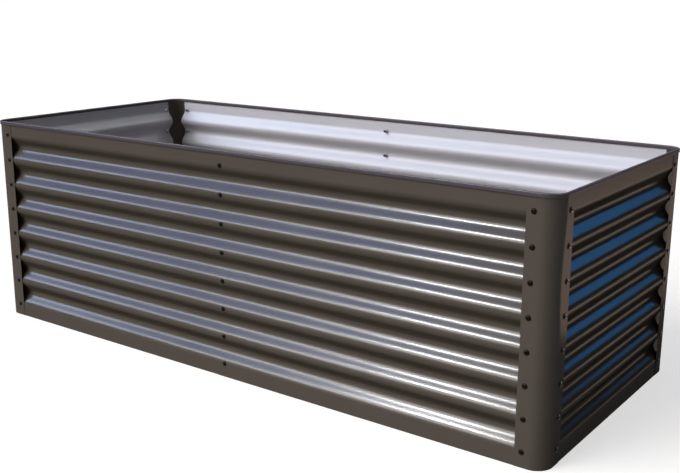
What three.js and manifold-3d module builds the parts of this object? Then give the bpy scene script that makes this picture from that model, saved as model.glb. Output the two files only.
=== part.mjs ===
// Raised garden bed: corrugated steel panels bolted to four rounded corner posts, with a soft edging
// on the rim and two braces across the middle. It has no floor: it stands on the ground on its sheets.
//
// Millimetres, +Z up. The origin is on the ground at the middle of the bed. X runs along the long sides
// and Y across. The front is at -Y and the right end at +X.
//
// Each side is a group with its own frame: X runs along the wall, Y points into the bed from the
// outer face of the posts, and Z is up. The four sides are this frame turned by quarter turns.

import * as THREE from 'three';
import { mergeVertices } from 'three/addons/utils/BufferGeometryUtils.js';
import Module from 'manifold-3d';

const wasm = await Module();
wasm.setup();

// ---------------------------------------------------------------- driving dimensions

const LENGTH = 1840; // long side, over the outer faces of the posts
const WIDTH = 768; // short end, over the outer faces of the posts

const RIB_PITCH = 76.2; // crest to crest: the common three-inch corrugation
const RIB_COUNT = 7; // grooves between the lowest and the highest row of bolts
const RIB_DEPTH = 19.5; // crest to groove bottom
const EDGE_BAND = 37; // flat strip of sheet below the lowest row of bolts and above the highest
const PANEL_SHEET = 0.6; // thickness of a panel
const PANEL_END_CLEARANCE = 1; // from the start of a post's bend to the end of a panel
const SEAM_LAP = 40; // how far the two panels of a long side lie over each other

const POST_SHEET = 0.8; // thickness of a corner post
const POST_RADIUS = 42; // outer radius of its rounded corner
const POST_FLANGE = 31; // flat strip of a post on each side of its bend
const BOLT_EDGE = 17; // from the free edge of a flange to its column of bolts

const SHANK_DIAMETER = 6;
const BOLT_CLEARANCE = 1; // how much wider a bolt hole is than a shank
const HEAD_OVERHANG = 3.5; // how far the low domed head reaches past the shank
const HEAD_HEIGHT = 3.4;
const NUT_WALL = 2; // from the shank to a flat of the nut
const NUT_HEIGHT = 5;
const BOLT_TAIL = 1.5; // thread that shows past the nuts of the braces

const BRACE_WIDTH = 20; // flat bar, along the wall
const BRACE_THICKNESS = 2.5;
const BRACE_TAB = 20; // height of the tab bent up at each end
const BRACE_BEND = 1.5; // inner radius of the bend
const LOWER_BRACE_ROW = 1; // rows of bolts, counted from 0 at the ground
const UPPER_BRACE_ROW = RIB_COUNT - 2;

const EDGING_WALL = 2.2; // walls and top of the edging's channel
const EDGING_SKIRT = 7.4; // how far its walls reach down over the sheets
const EDGING_JOINT = 1.5; // gap where its two ends meet, at the middle of the back

const FIT_GAP = 0.3; // between pieces that are pressed together

// Facets of round forms.
const RIB_STEPS = 12; // in one pitch; the two steps at the middle of each slope are one facet
const ARC_FACETS = 8; // in a quarter turn of a post or of the edging
const HEAD_FACETS = 8; // round a bolt head
const DOME_FACETS = 2; // from a bolt head's middle to its edge
const SHANK_FACETS = 6; // round a shank or a bolt hole
const NUT_SIDES = 6;

// ---------------------------------------------------------------- sizes that follow

const SHEET_TOP = RIB_COUNT * RIB_PITCH + 2 * EDGE_BAND;
const POST_LEG = POST_RADIUS + POST_FLANGE; // from the square corner of two sides to a flange's edge
const BOLT_LINE = POST_LEG - BOLT_EDGE; // from the square corner to a column of bolts
const PANEL_SETBACK = POST_RADIUS + PANEL_END_CLEARANCE; // from the square corner to a panel's end
const BOLT_HOLE = SHANK_DIAMETER + BOLT_CLEARANCE;
const HEAD_RADIUS = SHANK_DIAMETER / 2 + HEAD_OVERHANG;
const NUT_RADIUS = (SHANK_DIAMETER + 2 * NUT_WALL) / Math.sqrt(3); // to a corner of the hexagon
const LAP_STEP = PANEL_SHEET + FIT_GAP; // how far the inner panel lies behind the outer one

const rowHeight = (row) => EDGE_BAND + row * RIB_PITCH;
const rows = Array.from({ length: RIB_COUNT + 1 }, (_, row) => row);

// ---------------------------------------------------------------- finishes

const paintedSteel = () => new THREE.MeshStandardMaterial({ color: 0x5a5550, roughness: 0.4, metalness: 0.3 });
const blackSteel = () => new THREE.MeshStandardMaterial({ color: 0x1c1a19, roughness: 0.35, metalness: 0.6 });
const zincSteel = () => new THREE.MeshStandardMaterial({ color: 0xb4b7ba, roughness: 0.45, metalness: 0.9 });
const darkRubber = () => new THREE.MeshStandardMaterial({ color: 0x2f2c2d, roughness: 0.6, metalness: 0 });

// ---------------------------------------------------------------- solids and meshes

/** The closed solid of a geometry, ready to be joined or cut. */
function toSolid(geometry) {
  const bare = geometry.clone();
  bare.deleteAttribute('normal');
  bare.deleteAttribute('uv');
  const { attributes, index } = mergeVertices(bare);
  return new wasm.Manifold(
    new wasm.Mesh({
      numProp: 3,
      vertProperties: Float32Array.from(attributes.position.array),
      triVerts: Uint32Array.from(index.array),
    }),
  );
}

/** The geometry of a solid, with flat facets. */
function toGeometry(solid) {
  const { numProp, vertProperties, triVerts } = solid.getMesh();
  const geometry = new THREE.BufferGeometry();
  const positions = new THREE.InterleavedBuffer(vertProperties, numProp);
  geometry.setAttribute('position', new THREE.InterleavedBufferAttribute(positions, 3, 0));
  geometry.setIndex([...triVerts]);
  const faceted = geometry.toNonIndexed();
  faceted.computeVertexNormals();
  return faceted;
}

/** A round bar along Y, with its middle at the origin and a corner of its facets towards X. */
function roundBar(diameter, length) {
  const quarter = Math.PI / 2;
  return new THREE.CylinderGeometry(diameter / 2, diameter / 2, length, SHANK_FACETS, 1, false, quarter);
}

/** One named piece in a group, at a place in the group's frame. */
function addPiece(group, name, geometry, material, place = [0, 0, 0]) {
  const mesh = new THREE.Mesh(geometry, material);
  mesh.name = name;
  mesh.position.set(...place);
  group.add(mesh);
}

// ---------------------------------------------------------------- corrugation

/**
 * A line of the corrugated section, `inset` behind its outer face, from the ground to the top edge.
 * Each point holds the distance in from the outer face of the posts, and the height.
 * A cosine wave hangs between two flat bands, and its crests touch the inner face of the posts.
 */
function ribLine(inset) {
  const line = [new THREE.Vector2(POST_SHEET + inset, 0)];
  for (let step = 0; step <= RIB_COUNT * RIB_STEPS; step++) {
    const onStraightSlope = step % (RIB_STEPS / 2) === RIB_STEPS / 4;
    if (onStraightSlope) continue;
    const angle = (2 * Math.PI * step) / RIB_STEPS;
    const depth = (RIB_DEPTH / 2) * (1 - Math.cos(angle));
    const slope = ((Math.PI * RIB_DEPTH) / RIB_PITCH) * Math.sin(angle);
    const normal = new THREE.Vector2(1, -slope).normalize();
    const height = EDGE_BAND + (step * RIB_PITCH) / RIB_STEPS;
    line.push(new THREE.Vector2(POST_SHEET + depth, height).addScaledVector(normal, inset));
  }
  line.push(new THREE.Vector2(POST_SHEET + inset, SHEET_TOP));
  return line;
}

/** Where a flat face that reaches `reach` up and down from a height comes to rest behind a line. */
function seatBehind(line, height, reach) {
  const depthAt = (level) => {
    const upper = line.findIndex((point) => point.y >= level);
    const [below, above] = [line[upper - 1], line[upper]];
    return THREE.MathUtils.mapLinear(level, below.y, above.y, below.x, above.x);
  };
  return Math.max(depthAt(height - reach), depthAt(height + reach)) + FIT_GAP;
}

/** A corrugated sheet through stations [place along the wall, inset of the sheet]. */
function corrugatedSheet(stations) {
  const positions = [];
  for (const [along, inset] of stations) {
    const section = [...ribLine(inset), ...ribLine(inset + PANEL_SHEET).reverse()];
    for (const point of section) positions.push(along, point.x, point.y);
  }
  const ringSize = positions.length / 3 / stations.length;
  const index = [];
  const quad = (a, b, c, d) => index.push(a, b, c, a, c, d);
  for (let station = 0; station < stations.length - 1; station++) {
    const [near, far] = [station * ringSize, (station + 1) * ringSize];
    for (let point = 0; point < ringSize; point++) {
      const next = (point + 1) % ringSize;
      quad(near + point, far + point, far + next, near + next);
    }
  }
  const last = (stations.length - 1) * ringSize;
  for (let point = 0; point < ringSize / 2 - 1; point++) {
    const across = ringSize - 1 - point;
    quad(point, point + 1, across - 1, across);
    quad(last + across, last + across - 1, last + point + 1, last + point);
  }
  const geometry = new THREE.BufferGeometry();
  geometry.setAttribute('position', new THREE.Float32BufferAttribute(positions, 3));
  geometry.setIndex(index);
  return geometry;
}

/** A panel with a column of bolt holes at each of the given places along the wall. */
function panelGeometry(stations, boltColumns) {
  const cutter = roundBar(BOLT_HOLE, RIB_DEPTH);
  let panel = toSolid(corrugatedSheet(stations));
  for (const along of boltColumns) {
    for (const row of rows) {
      panel = panel.subtract(toSolid(cutter).translate([along, 0, rowHeight(row)]));
    }
  }
  return toGeometry(panel);
}

// ---------------------------------------------------------------- bolts and nuts

/** A domed bolt along +Y, with the underside of its head at Y = 0. */
function boltSolid(length) {
  const dome = [];
  for (let step = 0; step < DOME_FACETS; step++) {
    const angle = ((Math.PI / 2) * step) / DOME_FACETS;
    dome.push(new THREE.Vector2(HEAD_RADIUS * Math.sin(angle), -HEAD_HEIGHT * Math.cos(angle)));
  }
  dome.push(new THREE.Vector2(HEAD_RADIUS, 0), new THREE.Vector2(0, 0));
  const head = new THREE.LatheGeometry(dome, HEAD_FACETS);
  const root = HEAD_HEIGHT / 2; // the shank grows out of the middle of the head
  const shank = roundBar(SHANK_DIAMETER, root + length).translate(0, (length - root) / 2, 0);
  return toSolid(head).add(toSolid(shank));
}

/** A hexagon nut along +Y, from Y = 0, with its bore clear of the shank. */
function nutGeometry() {
  const corner = (turn) => [NUT_RADIUS * Math.cos(turn), NUT_RADIUS * Math.sin(turn)];
  const outline = new THREE.Shape();
  outline.moveTo(...corner(0));
  for (let side = 1; side < NUT_SIDES; side++) outline.lineTo(...corner((2 * Math.PI * side) / NUT_SIDES));
  outline.closePath();
  const bore = new THREE.Path();
  bore.absarc(0, 0, BOLT_HOLE / 2, 0, 2 * Math.PI);
  outline.holes.push(bore);
  const settings = { depth: NUT_HEIGHT, bevelEnabled: false, curveSegments: SHANK_FACETS / 2 };
  return new THREE.ExtrudeGeometry(outline, settings).rotateX(-Math.PI / 2);
}

// ---------------------------------------------------------------- corner posts

/** The bent sheet of a post. The square corner that it rounds off is at the origin. */
function postSheet() {
  const [outer, inner] = [POST_RADIUS, POST_RADIUS - POST_SHEET];
  const section = new THREE.Shape();
  section.moveTo(-POST_LEG, 0);
  section.lineTo(-outer, 0);
  section.absarc(-outer, outer, outer, -Math.PI / 2, 0);
  section.lineTo(0, POST_LEG);
  section.lineTo(-POST_SHEET, POST_LEG);
  section.absarc(-outer, outer, inner, 0, -Math.PI / 2, true);
  section.lineTo(-POST_LEG, POST_SHEET);
  section.closePath();
  const settings = { depth: SHEET_TOP, bevelEnabled: false, curveSegments: ARC_FACETS / 2 };
  return new THREE.ExtrudeGeometry(section, settings);
}

/** A post with its two columns of bolts and nuts, which clamp the ends of two panels. */
function postGeometry() {
  const backFace = ribLine(PANEL_SHEET);
  let post = toSolid(postSheet());
  for (const row of rows) {
    const nutFace = seatBehind(backFace, rowHeight(row), NUT_RADIUS);
    const nut = new THREE.CylinderGeometry(NUT_RADIUS, NUT_RADIUS, NUT_HEIGHT, NUT_SIDES);
    nut.translate(0, nutFace + NUT_HEIGHT / 2, 0);
    const bolt = boltSolid(nutFace + NUT_HEIGHT / 2).add(toSolid(nut));
    const onThisSide = bolt.translate([-BOLT_LINE, 0, rowHeight(row)]);
    const quarterTurn = [0, 1, 0, 0, -1, 0, 0, 0, 0, 0, 1, 0, 0, 0, 0, 1];
    const onNextSide = bolt.transform(quarterTurn).translate([0, BOLT_LINE, rowHeight(row)]);
    post = post.add(onThisSide).add(onNextSide);
  }
  return toGeometry(post);
}

// ---------------------------------------------------------------- braces

const isBraced = (row) => row === LOWER_BRACE_ROW || row === UPPER_BRACE_ROW;

/** How far in from the posts' outer face the tab of a brace starts, at a row of bolts. */
function braceSeat(row) {
  return seatBehind(ribLine(LAP_STEP + PANEL_SHEET), rowHeight(row), BRACE_TAB / 2);
}

/** How far in the nut of a seam bolt starts: behind the lapped panels, or behind a brace. */
function seamNutSeat(row) {
  if (isBraced(row)) return braceSeat(row) + BRACE_THICKNESS + FIT_GAP;
  return seatBehind(ribLine(LAP_STEP + PANEL_SHEET), rowHeight(row), NUT_RADIUS);
}

/** A flat bar bent up into a drilled tab at each end. Its bolts' axis is at Z = 0. */
function braceGeometry(row) {
  const half = WIDTH / 2 - braceSeat(row);
  const [low, high] = [-BRACE_TAB / 2, BRACE_TAB / 2];
  const inner = BRACE_BEND;
  const bend = BRACE_BEND + BRACE_THICKNESS;
  const bar = new THREE.Shape();
  bar.moveTo(half, high);
  bar.lineTo(half - BRACE_THICKNESS, high);
  bar.absarc(half - bend, low + bend, inner, 0, -Math.PI / 2, true);
  bar.absarc(bend - half, low + bend, inner, -Math.PI / 2, -Math.PI, true);
  bar.lineTo(BRACE_THICKNESS - half, high);
  bar.lineTo(-half, high);
  bar.absarc(bend - half, low + bend, bend, Math.PI, 1.5 * Math.PI);
  bar.absarc(half - bend, low + bend, bend, 1.5 * Math.PI, 2 * Math.PI);
  bar.closePath();
  const settings = { depth: BRACE_WIDTH, bevelEnabled: false, curveSegments: ARC_FACETS / 4 };
  const strip = new THREE.ExtrudeGeometry(bar, settings).translate(0, 0, -BRACE_WIDTH / 2);
  strip.rotateX(Math.PI / 2).rotateZ(Math.PI / 2);
  return toGeometry(toSolid(strip).subtract(toSolid(roundBar(BOLT_HOLE, WIDTH))));
}

// ---------------------------------------------------------------- edging

/** The outline of the rim, moved out by an offset from the outer face of the posts. */
function rimOutline(offset) {
  const [x, y, radius] = [LENGTH / 2 + offset, WIDTH / 2 + offset, POST_RADIUS + offset];
  const outline = new THREE.Shape();
  outline.absarc(x - radius, radius - y, radius, -Math.PI / 2, 0);
  outline.absarc(x - radius, y - radius, radius, 0, Math.PI / 2);
  outline.absarc(radius - x, y - radius, radius, Math.PI / 2, Math.PI);
  outline.absarc(radius - x, radius - y, radius, Math.PI, 1.5 * Math.PI);
  outline.closePath();
  return outline;
}

/** A closed band round the rim between two offsets and two heights. */
function rimBand(outerOffset, innerOffset, bottom, top) {
  const band = rimOutline(outerOffset);
  band.holes.push(rimOutline(innerOffset));
  const settings = { depth: top - bottom, bevelEnabled: false, curveSegments: ARC_FACETS / 2 };
  return toSolid(new THREE.ExtrudeGeometry(band, settings).translate(0, 0, bottom));
}

/** The channel-shaped edging: one length round the rim, whose slot takes a post and two panels. */
function edgingGeometry() {
  const slotOuter = FIT_GAP;
  const slotInner = -(POST_SHEET + LAP_STEP + PANEL_SHEET + FIT_GAP);
  const slotTop = SHEET_TOP + FIT_GAP;
  const bottom = SHEET_TOP - EDGING_SKIRT;
  const channel = rimBand(slotOuter + EDGING_WALL, slotInner - EDGING_WALL, bottom, slotTop + EDGING_WALL);
  const slot = rimBand(slotOuter, slotInner, bottom - EDGING_WALL, slotTop);
  const jointCut = new THREE.BoxGeometry(EDGING_JOINT, WIDTH, SHEET_TOP);
  jointCut.translate(0, WIDTH / 2, SHEET_TOP);
  return toGeometry(channel.subtract(slot).subtract(toSolid(jointCut)));
}

// ---------------------------------------------------------------- assembly

const bed = new THREE.Group();

/** An empty side whose frame stands at the middle of its outer face. */
function addSide(quarterTurns, distance) {
  const side = new THREE.Group();
  const turn = (Math.PI / 2) * quarterTurns;
  side.rotation.z = turn;
  side.position.set(distance * Math.sin(turn), -distance * Math.cos(turn), 0);
  bed.add(side);
  return side;
}

/** The post that joins a side's right-hand end to the next side. */
function addPost(side, name, sideLength) {
  addPiece(side, name, postGeometry(), paintedSteel(), [sideLength / 2, 0, 0]);
}

/** A short end: one panel between two posts. */
function buildEnd(side, panelName) {
  const end = WIDTH / 2 - PANEL_SETBACK;
  const column = WIDTH / 2 - BOLT_LINE;
  const stations = [[-end, 0], [end, 0]];
  addPiece(side, panelName, panelGeometry(stations, [-column, column]), paintedSteel());
}

/** A long side: two panels that lap at the middle, and the bolts and nuts of the seam. */
function buildLongSide(side, sideName, rightPanelName, leftPanelName) {
  const end = LENGTH / 2 - PANEL_SETBACK;
  const column = LENGTH / 2 - BOLT_LINE;
  const lap = SEAM_LAP / 2;
  const outerStations = [[-lap, 0], [end, 0]];
  const innerStations = [[-end, 0], [lap, LAP_STEP]]; // it leans in to lie behind the outer one
  addPiece(side, rightPanelName, panelGeometry(outerStations, [0, column]), paintedSteel());
  addPiece(side, leftPanelName, panelGeometry(innerStations, [-column, 0]), paintedSteel());

  const deepestNut = Math.max(...rows.map(seamNutSeat));
  const boltLength = deepestNut + NUT_HEIGHT + BOLT_TAIL - POST_SHEET;
  for (const row of rows) {
    const bolt = toGeometry(boltSolid(boltLength));
    const nut = nutGeometry();
    const height = rowHeight(row);
    addPiece(side, `${sideName}_seam_bolt_${row + 1}`, bolt, blackSteel(), [0, POST_SHEET, height]);
    addPiece(side, `${sideName}_seam_nut_${row + 1}`, nut, zincSteel(), [0, seamNutSeat(row), height]);
  }
}

const front = addSide(0, WIDTH / 2);
const right = addSide(1, LENGTH / 2);
const back = addSide(2, WIDTH / 2);
const left = addSide(3, LENGTH / 2);

buildLongSide(front, 'front', 'front_right_panel', 'front_left_panel');
buildLongSide(back, 'back', 'back_left_panel', 'back_right_panel');
buildEnd(right, 'right_end_panel');
buildEnd(left, 'left_end_panel');

addPost(front, 'front_right_post', LENGTH);
addPost(right, 'back_right_post', WIDTH);
addPost(back, 'back_left_post', LENGTH);
addPost(left, 'front_left_post', WIDTH);

for (const [name, row] of [['lower_cross_brace', LOWER_BRACE_ROW], ['upper_cross_brace', UPPER_BRACE_ROW]]) {
  addPiece(bed, name, braceGeometry(row), zincSteel(), [0, 0, rowHeight(row)]);
}

addPiece(bed, 'rim_edging', edgingGeometry(), darkRubber());

export default bed;
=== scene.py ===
"""Looks of the raised garden bed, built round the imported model.

Everything is in metres in the row frame: +Z up, the ground at Z = 0, the long sides along X and
the front at -Y. A wall has a frame of its own, as in the CAD: X runs along the wall, Y points into
the bed from the outer face of the posts, and Z is up.
"""

from __future__ import annotations

import logging
import math
from collections.abc import Callable, Iterable, Sequence
from dataclasses import dataclass, field
from enum import Enum

import bmesh
import bpy
from mathutils import Euler, Matrix, Vector

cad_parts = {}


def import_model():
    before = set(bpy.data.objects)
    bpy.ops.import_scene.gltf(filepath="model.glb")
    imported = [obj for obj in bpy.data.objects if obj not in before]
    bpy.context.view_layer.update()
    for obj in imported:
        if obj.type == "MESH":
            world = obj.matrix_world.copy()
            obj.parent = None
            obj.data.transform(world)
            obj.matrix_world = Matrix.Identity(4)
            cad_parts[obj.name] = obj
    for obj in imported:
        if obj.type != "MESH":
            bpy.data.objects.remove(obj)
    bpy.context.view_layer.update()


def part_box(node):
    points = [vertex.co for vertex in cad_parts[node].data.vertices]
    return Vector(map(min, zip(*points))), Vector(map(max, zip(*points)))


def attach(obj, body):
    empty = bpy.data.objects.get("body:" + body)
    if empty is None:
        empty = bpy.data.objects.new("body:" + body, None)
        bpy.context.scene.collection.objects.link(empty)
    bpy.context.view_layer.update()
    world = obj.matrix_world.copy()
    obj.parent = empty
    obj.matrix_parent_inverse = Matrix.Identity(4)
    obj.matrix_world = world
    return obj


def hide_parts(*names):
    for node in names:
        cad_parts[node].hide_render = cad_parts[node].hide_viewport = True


MM = 0.001
BODY = "root"

# Sockets that share their name with others of the node, by number.
MIX_FIRST, MIX_SECOND, MIX_RESULT = 6, 7, 2  # the colours of a Mix node
RANDOM_LOW, RANDOM_HIGH, RANDOM_RESULT = 2, 3, 1  # the plain numbers of a Random Value node

NOISE_LOW, NOISE_HIGH = 0.3, 0.7  # nearly all values of a noise texture lie between these
WELD = 0.01 * MM  # points closer than this are one
CREASE = math.radians(32)  # an edge that turns by more than this is left sharp

log = logging.getLogger("garden_bed")


# ------------------------------------------------------------------------------------------------
# Sizes that the pieces share


class Wall(Enum):
    """One side of the bed. The value counts quarter turns from the front."""

    FRONT = 0
    RIGHT = 1
    BACK = 2
    LEFT = 3

    @property
    def is_long(self) -> bool:
        """True for the two long sides, which have a seam."""
        return self in (Wall.FRONT, Wall.BACK)

    @property
    def label(self) -> str:
        """The wall's name in lower case, for the names of pieces."""
        return self.name.lower()


@dataclass(frozen=True)
class BedSizes:
    """The driving sizes of the bed, the same as the CAD's, and what follows from them."""

    length: float = 1840 * MM
    width: float = 768 * MM
    rib_pitch: float = 76.2 * MM
    rib_count: int = 7
    rib_depth: float = 19.5 * MM
    edge_band: float = 37 * MM
    panel_sheet: float = 0.6 * MM
    panel_end_clearance: float = 1 * MM
    seam_lap: float = 40 * MM
    post_sheet: float = 0.8 * MM
    post_radius: float = 42 * MM
    post_flange: float = 31 * MM
    bolt_edge: float = 17 * MM
    fit_gap: float = 0.3 * MM

    @property
    def sheet_top(self) -> float:
        """Height of the panels and posts."""
        return self.rib_count * self.rib_pitch + 2 * self.edge_band

    @property
    def post_leg(self) -> float:
        """From the square corner of two walls to the free edge of a flange."""
        return self.post_radius + self.post_flange

    @property
    def bolt_line(self) -> float:
        """From the square corner of two walls to a column of bolts."""
        return self.post_leg - self.bolt_edge

    @property
    def panel_setback(self) -> float:
        """From the square corner of two walls to the end of a panel."""
        return self.post_radius + self.panel_end_clearance

    @property
    def lap_step(self) -> float:
        """How far the inner panel of a seam lies behind the outer one."""
        return self.panel_sheet + self.fit_gap

    @property
    def row_heights(self) -> list[float]:
        """Heights of the rows of bolts, from the ground up."""
        return [self.edge_band + row * self.rib_pitch for row in range(self.rib_count + 1)]

    def span(self, wall: Wall) -> float:
        """Length of a wall over the posts."""
        return self.length if wall.is_long else self.width

    def placement(self, wall: Wall) -> Matrix:
        """Where a wall stands.

        Args:
            wall: one side of the bed.

        Returns:
            The matrix that takes the wall's own frame to the row frame.
        """
        turn = wall.value * math.pi / 2
        reach = (self.width if wall.is_long else self.length) / 2
        place = Vector((reach * math.sin(turn), -reach * math.cos(turn), 0))
        return Matrix.Translation(place) @ Matrix.Rotation(turn, 4, "Z")

    def seat_behind(self, inset: float, reach: float) -> float:
        """Where a flat face comes to rest behind a crest of the sheet.

        Args:
            inset: from the sheet's outermost line to the face that it rests against.
            reach: how far the flat face reaches up and down from the crest.

        Returns:
            The distance in from the outer face of the posts.
        """
        turn = 2 * math.pi * reach / self.rib_pitch
        hollow = self.rib_depth / 2 * (1 - math.cos(turn))
        return self.post_sheet + inset + hollow + self.fit_gap


# ------------------------------------------------------------------------------------------------
# Helpers for nodes, meshes and pieces


def linear(colour: str) -> tuple[float, float, float, float]:
    """Turns an sRGB hex colour into a linear one.

    Args:
        colour: such as "#5A5550".

    Returns:
        Red, green, blue and a full alpha, for a node's socket.
    """
    channels = [int(colour[i : i + 2], 16) / 255 for i in (1, 3, 5)]
    lit = [c / 12.92 if c <= 0.04045 else ((c + 0.055) / 1.055) ** 2.4 for c in channels]
    return (lit[0], lit[1], lit[2], 1.0)


def add_node(
    tree: bpy.types.NodeTree,
    kind: str,
    inputs: dict[str | int, object] | None = None,
    **settings: object,
) -> bpy.types.Node:
    """Adds one node to a shader or geometry tree.

    Args:
        tree: where the node goes.
        kind: the node's type name.
        inputs: a socket's name or number, and its value or the output that feeds it.
        settings: attributes of the node itself, such as its operation.

    Returns:
        The new node.
    """
    node = tree.nodes.new(kind)
    for name, value in settings.items():
        setattr(node, name, value)
    for key, value in (inputs or {}).items():
        if isinstance(value, bpy.types.NodeSocket):
            tree.links.new(value, node.inputs[key])
        else:
            node.inputs[key].default_value = value
    return node


def new_material(name: str) -> tuple[bpy.types.Material, bpy.types.NodeTree, bpy.types.Node]:
    """A material with nothing in it but its output.

    Args:
        name: the material's name.

    Returns:
        The material, its node tree and the output node.
    """
    material = bpy.data.materials.new(name)
    material.use_nodes = True
    material.node_tree.nodes.clear()
    output = add_node(material.node_tree, "ShaderNodeOutputMaterial")
    return material, material.node_tree, output


def new_geometry_tree(
    name: str, sockets: dict[str, str]
) -> tuple[bpy.types.NodeTree, bpy.types.Node]:
    """A geometry tree with a mesh input and named inputs for its sizes.

    Args:
        name: the tree's name.
        sockets: each input's name and the kind of its socket, such as "Float".

    Returns:
        The tree and its group input node.
    """
    tree = bpy.data.node_groups.new(name, "GeometryNodeTree")
    tree.interface.new_socket("Geometry", in_out="INPUT", socket_type="NodeSocketGeometry")
    for socket, kind in sockets.items():
        tree.interface.new_socket(socket, in_out="INPUT", socket_type=f"NodeSocket{kind}")
    tree.interface.new_socket("Geometry", in_out="OUTPUT", socket_type="NodeSocketGeometry")
    return tree, add_node(tree, "NodeGroupInput")


def grow(
    name: str,
    tree: bpy.types.NodeTree,
    values: dict[str, object],
    base: bpy.types.Mesh | None = None,
) -> bpy.types.Mesh:
    """Runs a geometry tree and keeps its result as a plain mesh.

    Args:
        name: the name of the new mesh.
        tree: the geometry tree.
        values: a value for each named input.
        base: the mesh that the tree starts from, if it needs one.

    Returns:
        The finished mesh, with no modifier left.
    """
    base = base or bpy.data.meshes.new(name + "_base")
    carrier = bpy.data.objects.new(name + "_carrier", base)
    modifier = carrier.modifiers.new("grow", "NODES")
    modifier.node_group = tree
    for item in tree.interface.items_tree:
        if item.in_out == "INPUT" and item.name in values:
            modifier[item.identifier] = values[item.name]
    bpy.context.scene.collection.objects.link(carrier)
    depsgraph = bpy.context.evaluated_depsgraph_get()
    mesh = bpy.data.meshes.new_from_object(carrier.evaluated_get(depsgraph))
    mesh.name = name
    carrier.modifiers.remove(modifier)
    bpy.data.objects.remove(carrier)
    bpy.data.meshes.remove(base)
    return mesh


def mesh_from(
    name: str,
    points: Sequence[Sequence[float]],
    faces: Iterable[Sequence[int]] = (),
    edges: Iterable[Sequence[int]] = (),
) -> bpy.types.Mesh:
    """A mesh from plain lists.

    Args:
        name: the mesh's name.
        points: each point's place.
        faces: the points of each face, by number.
        edges: the two points of each edge that stands by itself, by number.

    Returns:
        The new mesh.
    """
    mesh = bpy.data.meshes.new(name)
    mesh.from_pydata(
        [tuple(p) for p in points], [tuple(e) for e in edges], [tuple(f) for f in faces]
    )
    mesh.update()
    return mesh


def face_outwards(mesh: bpy.types.Mesh) -> None:
    """Merges the doubles of a closed mesh and turns all its faces outwards.

    Args:
        mesh: the mesh, which is changed in place.
    """
    work = bmesh.new()
    work.from_mesh(mesh)
    bmesh.ops.remove_doubles(work, verts=work.verts, dist=WELD)
    bmesh.ops.recalc_face_normals(work, faces=work.faces)
    work.to_mesh(mesh)
    work.free()


def smooth(mesh: bpy.types.Mesh) -> None:
    """Shades a mesh smooth, but for its creases."""
    mesh.shade_smooth()
    mesh.set_sharp_from_angle(angle=CREASE)


def strip_mesh(
    name: str,
    outer: Sequence[Vector],
    inner: Sequence[Vector],
    extent: tuple[float, float],
    up: Matrix,
) -> bpy.types.Mesh:
    """A bent strip of sheet: two lines of points, drawn out between two levels.

    Args:
        name: the mesh's name.
        outer: points of the outer line, in the plane of the bend.
        inner: points of the inner line, one for each outer point.
        extent: the two levels, across the plane of the bend.
        up: takes (plane x, plane y, level) to where the strip stands.

    Returns:
        A closed mesh with its faces outwards.
    """
    ring = [*outer, *reversed(inner)]
    count = len(ring)
    points = [up @ Vector((p.x, p.y, level)) for level in extent for p in ring]
    faces: list[tuple[int, ...]] = []
    for i in range(count):
        j = (i + 1) % count
        faces.append((i, j, count + j, count + i))
    for i in range(len(outer) - 1):
        across = count - 1 - i
        faces.append((i + 1, i, across, across - 1))
        faces.append((count + i, count + i + 1, count + across - 1, count + across))
    mesh = mesh_from(name, points, faces)
    face_outwards(mesh)
    return mesh


def add_piece(
    name: str,
    mesh: bpy.types.Mesh,
    replaces: Sequence[str] = (),
    place: Matrix | None = None,
) -> None:
    """Makes a mesh a piece of the bed, which is at the origin and unturned, its place in its mesh.

    Args:
        name: the piece's name.
        mesh: its mesh, with its materials.
        replaces: the CAD nodes that it stands for.
        place: takes the mesh's own frame to the row frame.
    """
    if place is not None:
        mesh.transform(place)
    mesh.name = name
    piece = bpy.data.objects.new(name, mesh)
    bpy.context.scene.collection.objects.link(piece)
    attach(piece, BODY)
    if replaces:
        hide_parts(*replaces)
    log.info("%s: %d faces", name, len(mesh.polygons))


# ------------------------------------------------------------------------------------------------
# Finishes


def even_sheen(
    tree: bpy.types.NodeTree,
    dull: bpy.types.NodeSocket,
    share: float,
    tint: str,
    roughness: float | bpy.types.NodeSocket,
    normal: bpy.types.NodeSocket,
) -> bpy.types.NodeSocket:
    """Lays over a dull surface a sheen that hardly grows at a shallow angle.

    Args:
        tree: the material's nodes.
        dull: the shader under the sheen.
        share: the share of light that the sheen returns.
        tint: the sheen's colour.
        roughness: how wide the sheen spreads a light.
        normal: the surface's normal.

    Returns:
        The shader of both.
    """
    sheen = add_node(
        tree,
        "ShaderNodeBsdfMetallic",
        {
            "Base Color": linear(tint),
            "Edge Tint": linear(tint),
            "Roughness": roughness,
            "Normal": normal,
        },
        fresnel_type="F82",
    )
    both = add_node(tree, "ShaderNodeMixShader", {0: share, 1: dull, 2: sheen.outputs["BSDF"]})
    return both.outputs["Shader"]


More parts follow.
